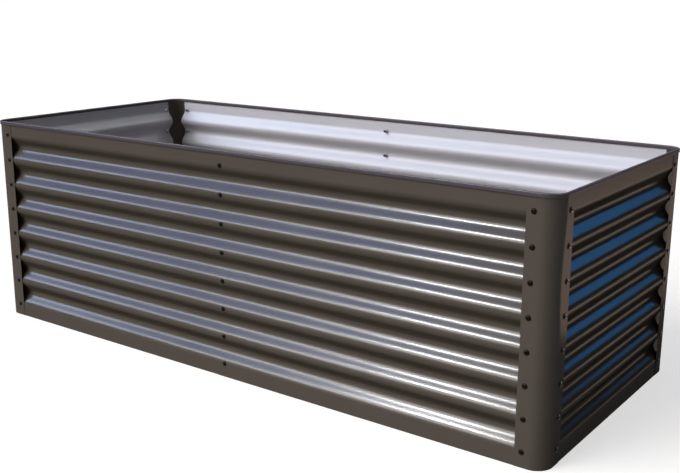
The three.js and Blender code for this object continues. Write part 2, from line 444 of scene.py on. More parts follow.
@dataclass(frozen=True)
class PowderCoat:
    """Polyester powder coat with aluminium flake, sprayed on steel and baked.

    To the eye it is a dull brown binder with a thin silver sheen over it. The sheen comes from the
    flakes, so it hardly grows at a shallow angle as that of a glossy film would, and it draws crisp
    light bands along the ribs. The melt leaves a faint orange peel and hardly any change of colour.
    """

    name: str = "powder_coat_taupe"
    binder: str = "#463E36"
    darker_binder: str = "#4C443C"
    flake: str = "#F5F6F6"
    flake_share: float = 0.0145
    roughness: float = 0.195
    roughness_swing: float = 0.015
    clouding: float = 180 * MM
    peel_width: float = 5 * MM  # real orange peel is 1 to 2 mm across, too fine to show
    peel_depth: float = 0.3 * MM
    peel_strength: float = 0.02

    def build(self) -> bpy.types.Material:
        """Makes the material.

        Returns:
            The finished material.
        """
        material, tree, output = new_material(self.name)
        place = add_node(tree, "ShaderNodeTexCoord")
        clouds = add_node(
            tree,
            "ShaderNodeTexNoise",
            {"Vector": place.outputs["Object"], "Scale": 1 / self.clouding, "Detail": 3.0},
        )
        shade = add_node(
            tree,
            "ShaderNodeMix",
            {
                "Factor": clouds.outputs["Fac"],
                MIX_FIRST: linear(self.binder),
                MIX_SECOND: linear(self.darker_binder),
            },
            data_type="RGBA",
        )
        gloss = add_node(
            tree,
            "ShaderNodeMapRange",
            {
                "Value": clouds.outputs["Fac"],
                "From Min": NOISE_LOW,
                "From Max": NOISE_HIGH,
                "To Min": self.roughness - self.roughness_swing,
                "To Max": self.roughness + self.roughness_swing,
            },
        )
        peel = add_node(
            tree,
            "ShaderNodeTexNoise",
            {"Vector": place.outputs["Object"], "Scale": 1 / self.peel_width, "Detail": 1.0},
        )
        bump = add_node(
            tree,
            "ShaderNodeBump",
            {
                "Height": peel.outputs["Fac"],
                "Strength": self.peel_strength,
                "Distance": self.peel_depth,
            },
        )
        dull = add_node(
            tree,
            "ShaderNodeBsdfPrincipled",
            {
                "Base Color": shade.outputs[MIX_RESULT],
                "Roughness": gloss.outputs["Result"],
                "Normal": bump.outputs["Normal"],
                "Specular IOR Level": 0.0,
                "IOR": 1.5,
            },
        )
        shown = even_sheen(
            tree,
            dull.outputs["BSDF"],
            self.flake_share,
            self.flake,
            gloss.outputs["Result"],
            bump.outputs["Normal"],
        )
        tree.links.new(shown, output.inputs["Surface"])
        return material


@dataclass(frozen=True)
class BackCoat:
    """Thin epoxy wash coat, rolled on the back of the coil before the sheet was formed.

    To the eye it is a pale, cool, almost matt grey with faint roller streaks along the sheet.
    """

    name: str = "back_coat_pale"
    colour: str = "#A4A0A2"
    streak: str = "#AFACAF"
    roughness: float = 0.5
    streak_length: float = 400 * MM
    streak_width: float = 12 * MM

    def build(self) -> bpy.types.Material:
        """Makes the material.

        Returns:
            The finished material.
        """
        material, tree, output = new_material(self.name)
        place = add_node(tree, "ShaderNodeTexCoord")
        scale = Vector((1 / self.streak_length, 1 / self.streak_length, 1 / self.streak_width))
        drawn = add_node(
            tree, "ShaderNodeMapping", {"Vector": place.outputs["Object"], "Scale": scale}
        )
        streaks = add_node(
            tree,
            "ShaderNodeTexNoise",
            {"Vector": drawn.outputs["Vector"], "Scale": 1.0, "Detail": 2.0},
        )
        shade = add_node(
            tree,
            "ShaderNodeMix",
            {
                "Factor": streaks.outputs["Fac"],
                MIX_FIRST: linear(self.colour),
                MIX_SECOND: linear(self.streak),
            },
            data_type="RGBA",
        )
        surface = add_node(
            tree,
            "ShaderNodeBsdfPrincipled",
            {
                "Base Color": shade.outputs[MIX_RESULT],
                "Roughness": self.roughness,
                "IOR": 1.5,
                "Specular IOR Level": 0.25,
            },
        )
        tree.links.new(surface.outputs["BSDF"], output.inputs["Surface"])
        return material


@dataclass(frozen=True)
class BlackSteel:
    """Carbon steel bolt, blackened in an oxide bath and oiled.

    To the eye it is a near-black metal with a soft light on the dome of the head.
    """

    name: str = "black_oxide_steel"
    colour: str = "#110F0E"
    worn: str = "#181514"
    roughness: float = 0.42
    grain: float = 2 * MM
    grain_depth: float = 0.1 * MM
    grain_strength: float = 0.1

    def build(self) -> bpy.types.Material:
        """Makes the material.

        Returns:
            The finished material.
        """
        material, tree, output = new_material(self.name)
        place = add_node(tree, "ShaderNodeTexCoord")
        grain = add_node(
            tree,
            "ShaderNodeTexNoise",
            {"Vector": place.outputs["Object"], "Scale": 1 / self.grain, "Detail": 2.0},
        )
        shade = add_node(
            tree,
            "ShaderNodeMix",
            {
                "Factor": grain.outputs["Fac"],
                MIX_FIRST: linear(self.colour),
                MIX_SECOND: linear(self.worn),
            },
            data_type="RGBA",
        )
        bump = add_node(
            tree,
            "ShaderNodeBump",
            {
                "Height": grain.outputs["Fac"],
                "Strength": self.grain_strength,
                "Distance": self.grain_depth,
            },
        )
        surface = add_node(
            tree,
            "ShaderNodeBsdfPrincipled",
            {
                "Base Color": shade.outputs[MIX_RESULT],
                "Roughness": self.roughness,
                "Metallic": 1.0,
                "Normal": bump.outputs["Normal"],
            },
        )
        tree.links.new(surface.outputs["BSDF"], output.inputs["Surface"])
        return material


@dataclass(frozen=True)
class ZincSteel:
    """Steel with electroplated zinc, clear passivated.

    To the eye it is a cool, slightly cloudy silver, brighter on some grains than on others.
    """

    name: str = "zinc_plated_steel"
    dull: str = "#7C8085"
    bright: str = "#9EA2A7"
    roughness: float = 0.74
    grain: float = 9 * MM

    def build(self) -> bpy.types.Material:
        """Makes the material.

        Returns:
            The finished material.
        """
        material, tree, output = new_material(self.name)
        place = add_node(tree, "ShaderNodeTexCoord")
        grains = add_node(
            tree,
            "ShaderNodeTexVoronoi",
            {"Vector": place.outputs["Object"], "Scale": 1 / self.grain},
        )
        tone = add_node(tree, "ShaderNodeSeparateColor", {"Color": grains.outputs["Color"]})
        shade = add_node(
            tree,
            "ShaderNodeMix",
            {
                "Factor": tone.outputs["Red"],
                MIX_FIRST: linear(self.dull),
                MIX_SECOND: linear(self.bright),
            },
            data_type="RGBA",
        )
        surface = add_node(
            tree,
            "ShaderNodeBsdfPrincipled",
            {
                "Base Color": shade.outputs[MIX_RESULT],
                "Roughness": self.roughness,
                "Metallic": 1.0,
            },
        )
        tree.links.new(surface.outputs["BSDF"], output.inputs["Surface"])
        return material


@dataclass(frozen=True)
class DarkRubber:
    """Soft PVC edging, extruded in one length.

    To the eye it is a dark, slightly violet grey with a satin skin, and fine draw lines along it.
    """

    name: str = "soft_pvc_edging"
    colour: str = "#3A3337"
    chalk: str = "#453D41"
    sheen: str = "#F4F4F6"
    sheen_share: float = 0.02
    roughness: float = 0.36
    line_width: float = 1.2 * MM
    line_length: float = 83 * MM
    line_depth: float = 0.1 * MM
    line_strength: float = 0.1

    def build(self) -> bpy.types.Material:
        """Makes the material.

        Returns:
            The finished material.
        """
        material, tree, output = new_material(self.name)
        place = add_node(tree, "ShaderNodeTexCoord")
        scale = Vector((1 / self.line_length, 1 / self.line_length, 1 / self.line_width))
        drawn = add_node(
            tree, "ShaderNodeMapping", {"Vector": place.outputs["Object"], "Scale": scale}
        )
        lines = add_node(
            tree,
            "ShaderNodeTexNoise",
            {"Vector": drawn.outputs["Vector"], "Scale": 1.0, "Detail": 1.0},
        )
        shade = add_node(
            tree,
            "ShaderNodeMix",
            {
                "Factor": lines.outputs["Fac"],
                MIX_FIRST: linear(self.colour),
                MIX_SECOND: linear(self.chalk),
            },
            data_type="RGBA",
        )
        bump = add_node(
            tree,
            "ShaderNodeBump",
            {
                "Height": lines.outputs["Fac"],
                "Strength": self.line_strength,
                "Distance": self.line_depth,
            },
        )
        dull = add_node(
            tree,
            "ShaderNodeBsdfPrincipled",
            {
                "Base Color": shade.outputs[MIX_RESULT],
                "Roughness": self.roughness,
                "Normal": bump.outputs["Normal"],
                "IOR": 1.53,
                "Specular IOR Level": 0.0,
            },
        )
        shown = even_sheen(
            tree,
            dull.outputs["BSDF"],
            self.sheen_share,
            self.sheen,
            self.roughness,
            bump.outputs["Normal"],
        )
        tree.links.new(shown, output.inputs["Surface"])
        return material


@dataclass
class Finishes:
    """Every material of the bed, built once."""

    paint: bpy.types.Material = field(default_factory=lambda: PowderCoat().build())
    back: bpy.types.Material = field(default_factory=lambda: BackCoat().build())
    black: bpy.types.Material = field(default_factory=lambda: BlackSteel().build())
    zinc: bpy.types.Material = field(default_factory=lambda: ZincSteel().build())
    rubber: bpy.types.Material = field(default_factory=lambda: DarkRubber().build())


# ------------------------------------------------------------------------------------------------
# Panels


@dataclass
class CorrugatedPanels:
    """The six corrugated sheets: one at each short end, and two that lap on each long side."""

    sizes: BedSizes
    finishes: Finishes
    rows: int = 288  # points up the sheet
    columns: int = 25  # points along it
    crease: float = 0.6  # radians between two faces, from where their edge is left sharp
    slot: str = "painted_panel_steel"

    def tree(self) -> bpy.types.NodeTree:
        """Builds the geometry tree of a corrugated sheet.

        Returns:
            A tree that makes a flat grid, pushes it into ribs and gives it a thickness.
        """
        tree, given = new_geometry_tree(
            "corrugated_sheet",
            {
                "Start": "Float",
                "End": "Float",
                "Start inset": "Float",
                "End inset": "Float",
                "Face": "Float",
                "Pitch": "Float",
                "Ribs": "Int",
                "Depth": "Float",
                "Band": "Float",
                "Sheet": "Float",
                "Rows": "Int",
                "Columns": "Int",
                "Paint": "Material",
                "Back coat": "Material",
            },
        )
        size = given.outputs

        def maths(operation: str, *terms: object) -> bpy.types.NodeSocket:
            """The result of one Math node, from sockets and numbers."""
            node = add_node(tree, "ShaderNodeMath", dict(enumerate(terms)), operation=operation)
            return node.outputs[0]

        ribbed = maths("MULTIPLY", size["Ribs"], size["Pitch"])
        height = maths("MULTIPLY_ADD", size["Band"], 2.0, ribbed)
        length = maths("SUBTRACT", size["End"], size["Start"])
        flat = add_node(
            tree,
            "GeometryNodeMeshGrid",
            {
                "Size X": length,
                "Size Y": height,
                "Vertices X": size["Columns"],
                "Vertices Y": size["Rows"],
            },
        )
        place = add_node(tree, "GeometryNodeInputPosition")
        corner = add_node(tree, "ShaderNodeSeparateXYZ", {0: place.outputs["Position"]})
        middle = maths("MULTIPLY", maths("ADD", size["Start"], size["End"]), 0.5)
        along = maths("ADD", corner.outputs["X"], middle)
        level = maths("MULTIPLY_ADD", height, 0.5, corner.outputs["Y"])
        turn = add_node(
            tree,
            "ShaderNodeMapRange",
            {
                "Value": level,
                "From Min": size["Band"],
                "From Max": maths("ADD", size["Band"], ribbed),
                "To Min": 0.0,
                "To Max": maths("MULTIPLY", size["Ribs"], 2 * math.pi),
            },
        )
        wave = maths("SUBTRACT", 1.0, maths("COSINE", turn.outputs["Result"]))
        hollow = maths("MULTIPLY", wave, maths("MULTIPLY", size["Depth"], 0.5))
        lean = add_node(
            tree,
            "ShaderNodeMapRange",
            {
                "Value": along,
                "From Min": size["Start"],
                "From Max": size["End"],
                "To Min": size["Start inset"],
                "To Max": size["End inset"],
            },
        )
        inwards = maths("ADD", maths("ADD", hollow, lean.outputs["Result"]), size["Face"])
        spot = add_node(tree, "ShaderNodeCombineXYZ", {"X": along, "Y": inwards, "Z": level})
        ribs = add_node(
            tree,
            "GeometryNodeSetPosition",
            {"Geometry": flat.outputs["Mesh"], "Position": spot.outputs["Vector"]},
        )
        inner = add_node(
            tree,
            "GeometryNodeExtrudeMesh",
            {
                "Mesh": ribs.outputs["Geometry"],
                "Offset Scale": maths("MULTIPLY", size["Sheet"], -1.0),
                "Individual": False,
            },
        )
        turned = add_node(tree, "GeometryNodeFlipFaces", {"Mesh": inner.outputs["Mesh"]})
        both = add_node(tree, "GeometryNodeJoinGeometry", {0: ribs.outputs["Geometry"]})
        tree.links.new(turned.outputs["Mesh"], both.inputs[0])
        closed = add_node(
            tree,
            "GeometryNodeMergeByDistance",
            {"Geometry": both.outputs["Geometry"], "Distance": WELD},
        )
        rounded = add_node(
            tree, "GeometryNodeSetShadeSmooth", {"Geometry": closed.outputs["Geometry"]}
        )
        bend = add_node(tree, "GeometryNodeInputMeshEdgeAngle")
        creased = add_node(
            tree,
            "GeometryNodeSetShadeSmooth",
            {
                "Geometry": rounded.outputs["Geometry"],
                "Selection": maths("GREATER_THAN", bend.outputs["Unsigned Angle"], self.crease),
                "Shade Smooth": False,
            },
            domain="EDGE",
        )
        real = add_node(
            tree, "GeometryNodeRealizeInstances", {"Geometry": creased.outputs["Geometry"]}
        )
        painted = add_node(
            tree,
            "GeometryNodeSetMaterial",
            {"Geometry": real.outputs["Geometry"], "Material": size["Paint"]},
        )
        backed = add_node(
            tree,
            "GeometryNodeSetMaterial",
            {
                "Geometry": painted.outputs["Geometry"],
                "Selection": inner.outputs["Top"],
                "Material": size["Back coat"],
            },
        )
        add_node(tree, "NodeGroupOutput", {0: backed.outputs["Geometry"]})
        return tree

    def build(self) -> None:
        """Makes all six sheets."""
        sizes, tree = self.sizes, self.tree()
        lap = sizes.seam_lap / 2
        for wall in Wall:
            end = sizes.span(wall) / 2 - sizes.panel_setback
            if wall.is_long:
                right, left = ("right", "left") if wall is Wall.FRONT else ("left", "right")
                runs = {
                    f"{wall.label}_{right}_panel": ((-lap, end), (0.0, 0.0)),
                    f"{wall.label}_{left}_panel": ((-end, lap), (0.0, sizes.lap_step)),
                }
            else:
                runs = {f"{wall.label}_end_panel": ((-end, end), (0.0, 0.0))}
            for name, ((start, stop), (start_inset, end_inset)) in runs.items():
                mesh = grow(
                    name,
                    tree,
                    {
                        "Start": start,
                        "End": stop,
                        "Start inset": start_inset,
                        "End inset": end_inset,
                        "Face": sizes.post_sheet,
                        "Pitch": sizes.rib_pitch,
                        "Ribs": sizes.rib_count,
                        "Depth": sizes.rib_depth,
                        "Band": sizes.edge_band,
                        "Sheet": sizes.panel_sheet,
                        "Rows": self.rows,
                        "Columns": self.columns,
                        "Paint": self.finishes.paint,
                        "Back coat": self.finishes.back,
                    },
                )
                add_piece(name + "_sheet", mesh, [name], sizes.placement(wall))


# ------------------------------------------------------------------------------------------------
# Corner posts


@dataclass
class CornerPosts:
    """The four posts of bent sheet that round the corners and hold the ends of the panels."""

    sizes: BedSizes
    finishes: Finishes
    bend_steps: int = 40
    slot: str = "painted_post_steel"
    names: dict[Wall, str] = field(
        default_factory=lambda: {
            Wall.FRONT: "front_right_post",
            Wall.RIGHT: "back_right_post",
            Wall.BACK: "back_left_post",
            Wall.LEFT: "front_left_post",
        }
    )

    def line(self, inset: float) -> list[Vector]:
        """A line of the section, with the square corner of the two walls at the origin.

        Args:
            inset: how far the line lies behind the outer face.

        Returns:
            Points from the edge of one flange, round the bend, to the edge of the other.
        """
        radius, leg = self.sizes.post_radius, self.sizes.post_leg
        bend = []
        for step in range(self.bend_steps + 1):
            turn = -math.pi / 2 * (1 - step / self.bend_steps)
            spoke = (radius - inset) * Vector((math.cos(turn), math.sin(turn)))
            bend.append(Vector((-radius, radius)) + spoke)
        return [Vector((-leg, inset)), *bend, Vector((-inset, leg))]

    def build(self) -> None:
        """Makes the four posts."""
        sizes = self.sizes
        outer, inner = self.line(0.0), self.line(sizes.post_sheet)
        for wall, name in self.names.items():
            mesh = strip_mesh(name, outer, inner, (0.0, sizes.sheet_top), Matrix.Identity(4))
            mesh.materials.append(self.finishes.paint)
            smooth(mesh)
            corner = Matrix.Translation((sizes.span(wall) / 2, 0, 0))
            add_piece(name + "_sheet", mesh, [name], sizes.placement(wall) @ corner)


# ------------------------------------------------------------------------------------------------
# Bolts and nuts


# The radius of a ring in a direction, and its place along the axis at a radius.
RingShape = tuple[Callable[[float], float], Callable[[float], float]]


def hexagon(flat: float, turn: float) -> float:
    """Radius of a hexagon in the direction `turn`. Its flats are `flat` from the middle."""
    return flat / math.cos(turn % (math.pi / 3) - math.pi / 6)


@dataclass
class Fasteners:
    """Domed bolts with a hexagon socket outside, and hexagon nuts inside."""

    sizes: BedSizes
    finishes: Finishes
    shank: float = 6 * MM
    head_radius: float = 6.5 * MM
    head_height: float = 3.4 * MM
    rim_height: float = 0.6 * MM
    dome_rings: tuple[float, ...] = (0.55, 0.7, 0.82, 0.91, 0.97, 1.0)  # of the head's radius
    socket: float = 4 * MM  # across the flats
    socket_depth: float = 1.9 * MM
    socket_draft: float = 0.98  # how much narrower its floor is than its mouth
    socket_edge: float = 0.25 * MM
    drill_cone: float = 0.3 * MM  # left by the drill in its floor
    nut_wall: float = 2 * MM
    nut_height: float = 5 * MM
    nut_chamfer: float = 0.5 * MM
    nut_face: float = 0.98  # radius of its round end faces, as a share of the way to a flat
    bore_clearance: float = 0.05 * MM
    tail: float = 1.5 * MM
    tail_chamfer: float = 0.6 * MM
    around: int = 24  # points in a full turn
    seed: int = 7
    bolt_slot: str = "black_bolt_steel"
    nut_slot: str = "zinc_nut_steel"

    @property
    def nut_corner(self) -> float:
        """From the middle of a nut to a corner of its hexagon."""
        return (self.shank + 2 * self.nut_wall) / math.sqrt(3)

    @property
    def corner_seat(self) -> float:
        """How far in from the posts' outer face the nut of a corner bolt starts."""
        return self.sizes.seat_behind(self.sizes.panel_sheet, self.nut_corner)

    def skin(self, name: str, rings: Sequence[RingShape], bored: bool) -> bpy.types.Mesh:
        """Skins rings of points that go round the Y axis.

        Args:
            name: the mesh's name.
            rings: each ring's radius in a direction, and its place along Y at a radius.
            bored: True where the last ring joins the first. Otherwise the two are filled.

        Returns:
            A closed mesh with its faces outwards.
        """
        count = self.around
        points = []
        for radius_at, along_at in rings:
            for step in range(count):
                turn = 2 * math.pi * step / count
                radius = radius_at(turn)
                points.append((radius * math.cos(turn), along_at(radius), radius * math.sin(turn)))
        faces: list[tuple[int, ...]] = []
        for ring in range(len(rings) if bored else len(rings) - 1):
            here, there = ring * count, (ring + 1) % len(rings) * count
            for i in range(count):
                j = (i + 1) % count
                faces.append((here + i, here + j, there + j, there + i))
        if not bored:
            faces.append(tuple(range(count)))
            faces.append(tuple(range(len(points) - count, len(points))))
        mesh = mesh_from(name, points, faces)
        face_outwards(mesh)
        smooth(mesh)
        return mesh

    def bolt_mesh(self, length: float) -> bpy.types.Mesh:
        """A bolt along +Y with the underside of its head at Y = 0.

        Args:
            length: of the shank, from the underside of the head.

        Returns:
            The bolt, with a hexagon socket in its dome.
        """
        shank, flat = self.shank / 2, self.socket / 2
        floor = self.socket_depth - self.head_height

        def dome(radius: float) -> float:
            """Place along the axis of the dome's surface, at a radius."""
            share = min(1.0, radius / self.head_radius)
            return -self.rim_height - (self.head_height - self.rim_height) * math.sqrt(1 - share**2)

        rings: list[RingShape] = [
            (lambda turn: hexagon(flat, turn) / 2, lambda radius: floor + self.drill_cone),
            (lambda turn: hexagon(flat, turn) * self.socket_draft, lambda radius: floor),
            (lambda turn: hexagon(flat, turn), lambda radius: dome(flat) + self.socket_edge),
            (lambda turn: hexagon(flat, turn) + self.socket_edge, dome),
        ]
        for share in self.dome_rings:
            rings.append((lambda turn, share=share: self.head_radius * share, dome))
        rings += [
            (lambda turn: self.head_radius, lambda radius: 0.0),
            (lambda turn: shank, lambda radius: 0.0),
            (lambda turn: shank, lambda radius: length - self.tail_chamfer),
            (lambda turn: shank - self.tail_chamfer, lambda radius: length),
        ]
        return self.skin("bolt", rings, bored=False)

    def nut_mesh(self) -> bpy.types.Mesh:
        """A hexagon nut along +Y from Y = 0.

        Returns:
            The nut, with chamfered corners and a bore round the shank.
        """
        flat = self.shank / 2 + self.nut_wall
        bore, face = self.shank / 2 + self.bore_clearance, flat * self.nut_face
        rings: list[RingShape] = [
            (lambda turn: bore, lambda radius: 0.0),
            (lambda turn: face, lambda radius: 0.0),
            (lambda turn: hexagon(flat, turn), lambda radius: self.nut_chamfer),
            (lambda turn: hexagon(flat, turn), lambda radius: self.nut_height - self.nut_chamfer),
            (lambda turn: face, lambda radius: self.nut_height),
            (lambda turn: bore, lambda radius: self.nut_height),
        ]
        return self.skin("nut", rings, bored=True)

    def tree(self) -> bpy.types.NodeTree:
        """Builds the geometry tree of the fasteners.

        Returns:
            A tree that sets one fastener on every point, each turned its own way.
        """
        tree, given = new_geometry_tree(
            "fasteners_on_points",
            {"Fastener": "Object", "Seed": "Int", "Finish": "Material"},
        )
        size = given.outputs
        shape = add_node(tree, "GeometryNodeObjectInfo", {"Object": size["Fastener"]})
        turn = add_node(
            tree,
            "FunctionNodeRandomValue",
            {RANDOM_LOW: 0.0, RANDOM_HIGH: 2 * math.pi, "Seed": size["Seed"]},
            data_type="FLOAT",
        )
        axis = add_node(tree, "ShaderNodeCombineXYZ", {"Y": turn.outputs[RANDOM_RESULT]})
        placed = add_node(
            tree,
            "GeometryNodeInstanceOnPoints",
            {
                "Points": size["Geometry"],
                "Instance": shape.outputs["Geometry"],
                "Rotation": axis.outputs[0],
            },
        )
        real = add_node(
            tree, "GeometryNodeRealizeInstances", {"Geometry": placed.outputs["Instances"]}
        )
        dressed = add_node(
            tree,
            "GeometryNodeSetMaterial",
            {"Geometry": real.outputs["Geometry"], "Material": size["Finish"]},
        )
        add_node(tree, "NodeGroupOutput", {0: dressed.outputs["Geometry"]})
        return tree

    def spread(
        self,
        name: str,
        tree: bpy.types.NodeTree,
        shape: bpy.types.Mesh,
        points: Sequence[tuple[float, float, float]],
        finish: bpy.types.Material,
    ) -> bpy.types.Mesh:
        """Sets one shape on each of some points.

        Args:
            name: the result's name.
            tree: the tree from `tree`.
            shape: the fastener.
            points: places in the wall's frame.
            finish: its material.

        Returns:
            One plain mesh.
        """
        pattern = bpy.data.objects.new(name + "_pattern", shape)
        bpy.context.scene.collection.objects.link(pattern)
        base = mesh_from(name + "_points", points)
        mesh = grow(name, tree, {"Fastener": pattern, "Seed": self.seed, "Finish": finish}, base)
        bpy.data.objects.remove(pattern)
        return mesh

    def build(self) -> None:
        """Makes the bolts and nuts of each wall."""
        sizes, tree = self.sizes, self.tree()
        nut = self.nut_mesh()
        corner_bolt = self.bolt_mesh(self.corner_seat + self.nut_height + self.tail)
        for wall in Wall:
            place = sizes.placement(wall)
            column = sizes.span(wall) / 2 - sizes.bolt_line
            heads = [(x, 0.0, z) for x in (-column, column) for z in sizes.row_heights]
            backs = [(x, self.corner_seat, z) for x, _, z in heads]
            name = f"{wall.label}_corner_bolts"
            bolts = self.spread(name, tree, corner_bolt, heads, self.finishes.black)
            add_piece(name, bolts, (), place)
            name = f"{wall.label}_corner_nuts"
            nuts = self.spread(name, tree, nut, backs, self.finishes.zinc)
            add_piece(name, nuts, (), place)
            if wall.is_long:
                self.build_seam(wall, tree, nut)

    def build_seam(self, wall: Wall, tree: bpy.types.NodeTree, nut: bpy.types.Mesh) -> None:
        """Makes the bolts and nuts of a long side's seam, where the CAD has them.

        Args:
            wall: the long side.
            tree: the tree from `tree`.
            nut: the nut's mesh.
        """
        rows = range(1, len(self.sizes.row_heights) + 1)
        bolt_nodes = [f"{wall.label}_seam_bolt_{row}" for row in rows]
        nut_nodes = [f"{wall.label}_seam_nut_{row}" for row in rows]
        place = self.sizes.placement(wall)
        face = self.sizes.post_sheet
        heads = [(0.0, face, z) for z in self.sizes.row_heights]
        backs = []
        for node, height in zip(nut_nodes, self.sizes.row_heights):
            corners = [place.inverted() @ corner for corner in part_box(node)]
            backs.append((0.0, min(corner.y for corner in corners), height))
        length = max(seat for _, seat, _ in backs) + self.nut_height + self.tail - face
        black, zinc = self.finishes.black, self.finishes.zinc
        bolts = self.spread(f"{wall.label}_seam_bolts", tree, self.bolt_mesh(length), heads, black)
        add_piece(f"{wall.label}_seam_bolts", bolts, bolt_nodes, place)
        nuts = self.spread(f"{wall.label}_seam_nuts", tree, nut, backs, zinc)
        add_piece(f"{wall.label}_seam_nuts", nuts, nut_nodes, place)


# ------------------------------------------------------------------------------------------------
# Braces


@dataclass
class CrossBraces:
    """Two flat bars that tie the long sides together, with a tab bent up at each end."""

    sizes: BedSizes
    finishes: Finishes
    width: float = 20 * MM
    thickness: float = 2.5 * MM
    tab: float = 20 * MM
    bend: float = 1.5 * MM  # inner radius
    bend_steps: int = 8
    slot: str = "zinc_brace_steel"
    nodes: tuple[str, ...] = ("lower_cross_brace", "upper_cross_brace")

    def line(self, half: float, inset: float) -> list[Vector]:
        """A line of the bar's side view, in (Y, Z) from the middle of the brace.

        Args:
            half: half the length of the brace.
            inset: how far the line lies inside the bar's outer face.

        Returns:
            Points from the top of one tab, along the bar, to the top of the other.
        """
        radius = self.bend + self.thickness
        reach, low = half - radius, -self.tab / 2 + radius
        points = [Vector((-half + inset, self.tab / 2))]
        for centre, first in ((-reach, math.pi), (reach, 1.5 * math.pi)):
            for step in range(self.bend_steps + 1):
                turn = first + math.pi / 2 * step / self.bend_steps
                spoke = (radius - inset) * Vector((math.cos(turn), math.sin(turn)))
                points.append(Vector((centre, low)) + spoke)
        points.append(Vector((half - inset, self.tab / 2)))
        return points

    def build(self) -> None:
        """Makes both braces where the CAD has them."""
        stand = Matrix(((0, 0, 1, 0), (1, 0, 0, 0), (0, 1, 0, 0), (0, 0, 0, 1)))
        for node in self.nodes:
            low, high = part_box(node)
            half = (high.y - low.y) / 2
            outer, inner = self.line(half, 0.0), self.line(half, self.thickness)
            extent = (-self.width / 2, self.width / 2)
            mesh = strip_mesh(node, outer, inner, extent, stand)
            mesh.materials.append(self.finishes.zinc)
            smooth(mesh)
            centre = Matrix.Translation((low + high) / 2)
            add_piece(node + "_bar", mesh, [node], centre)


# ------------------------------------------------------------------------------------------------
# Edging


@dataclass
class RimEdging:
    """The soft channel pushed over the top edge of the sheets, in one length round the rim."""

    sizes: BedSizes
    finishes: Finishes
    wall: float = 2.2 * MM
    skirt: float = 7.4 * MM
    joint: float = 1.5 * MM
    round_top: float = 1.9 * MM
    round_lip: float = 0.9 * MM
    round_steps: int = 6
    corner_steps: int = 24
    slot: str = "dark_edging_rubber"
    node: str = "rim_edging"

    def path(self) -> list[tuple[float, float, float]]:
        """The line that the edging follows.

        Returns:
            Points round the posts' outer face, from one side of the joint to the other.
        """
        radius = self.sizes.post_radius
        reach_x, reach_y = self.sizes.length / 2 - radius, self.sizes.width / 2 - radius
        points = [(-self.joint / 2, self.sizes.width / 2, 0.0)]
        for quarter, (side_x, side_y) in enumerate(((-1, 1), (-1, -1), (1, -1), (1, 1)), start=1):
            for step in range(self.corner_steps + 1):
                turn = math.pi / 2 * (quarter + step / self.corner_steps)
                x = side_x * reach_x + radius * math.cos(turn)
                y = side_y * reach_y + radius * math.sin(turn)
                points.append((x, y, 0.0))
        points.append((self.joint / 2, self.sizes.width / 2, 0.0))
        return points

    def section(self) -> list[tuple[float, float, float]]:
        """The channel's outline.

        Returns:
            Points with X out from the posts' outer face and Y downwards, as the path draws them.
        """
        sizes, gap = self.sizes, self.sizes.fit_gap
        slot_in = -(sizes.post_sheet + sizes.lap_step + sizes.panel_sheet + gap)
        slot_top = sizes.sheet_top + gap
        low, high = sizes.sheet_top - self.skirt, slot_top + self.wall
        outside, inside = gap + self.wall, slot_in - self.wall
        corners = [
            (gap, low, self.round_lip),
            (outside, low, self.round_lip),
            (outside, high, self.round_top),
            (inside, high, self.round_top),
            (inside, low, self.round_lip),
            (slot_in, low, self.round_lip),
            (slot_in, slot_top, 0.0),
            (gap, slot_top, 0.0),
        ]
        points = []
        for i, (x, y, radius) in enumerate(corners):
            here = Vector((x, y))
            before = (Vector(corners[i - 1][:2]) - here).normalized()
            after = (Vector(corners[(i + 1) % len(corners)][:2]) - here).normalized()
            if radius == 0:
                points.append((x, -y, 0.0))
                continue
            centre = here + radius * (before + after)
            for step in range(self.round_steps + 1):
                turn = math.pi / 2 * step / self.round_steps
                spot = centre - radius * (after * math.cos(turn) + before * math.sin(turn))
                points.append((spot.x, -spot.y, 0.0))
        return points

    def tree(self) -> bpy.types.NodeTree:
        """Builds the geometry tree of the edging.

        Returns:
            A tree that draws a section along a path.
        """
        tree, given = new_geometry_tree(
            "channel_on_path", {"Section": "Object", "Finish": "Material"}
        )
        size = given.outputs
        path = add_node(tree, "GeometryNodeMeshToCurve", {"Mesh": size["Geometry"]})
        upright = add_node(
            tree, "GeometryNodeSetCurveNormal", {"Curve": path.outputs["Curve"]}, mode="Z_UP"
        )
        outline = add_node(tree, "GeometryNodeObjectInfo", {"Object": size["Section"]})
        profile = add_node(tree, "GeometryNodeMeshToCurve", {"Mesh": outline.outputs["Geometry"]})
        drawn = add_node(
            tree,
            "GeometryNodeCurveToMesh",
            {
                "Curve": upright.outputs["Curve"],
                "Profile Curve": profile.outputs["Curve"],
                "Fill Caps": True,
            },
        )
        real = add_node(tree, "GeometryNodeRealizeInstances", {"Geometry": drawn.outputs["Mesh"]})
        dressed = add_node(
            tree,
            "GeometryNodeSetMaterial",
            {"Geometry": real.outputs["Geometry"], "Material": size["Finish"]},
        )
        add_node(tree, "NodeGroupOutput", {0: dressed.outputs["Geometry"]})
        return tree

    def build(self) -> None:
        """Makes the edging."""
        path, section = self.path(), self.section()
        base = mesh_from("rim_path", path, edges=[(i, i + 1) for i in range(len(path) - 1)])
        ring = [(i, (i + 1) % len(section)) for i in range(len(section))]
        outline = mesh_from("edging_section", section, edges=ring)
        profile = bpy.data.objects.new("edging_section", outline)
        bpy.context.scene.collection.objects.link(profile)
        mesh = grow(
            "edging", self.tree(), {"Section": profile, "Finish": self.finishes.rubber}, base
        )
        bpy.data.objects.remove(profile)
        face_outwards(mesh)
        smooth(mesh)
        add_piece("rim_edging_channel", mesh, [self.node])


# ------------------------------------------------------------------------------------------------
# Studio


class Lights(Enum):
    """What a light is there for."""

    SHADE = "shade"  # gives colours their plain level, and doesn't show in gloss
    SHEEN = "sheen"  # shows in gloss alone


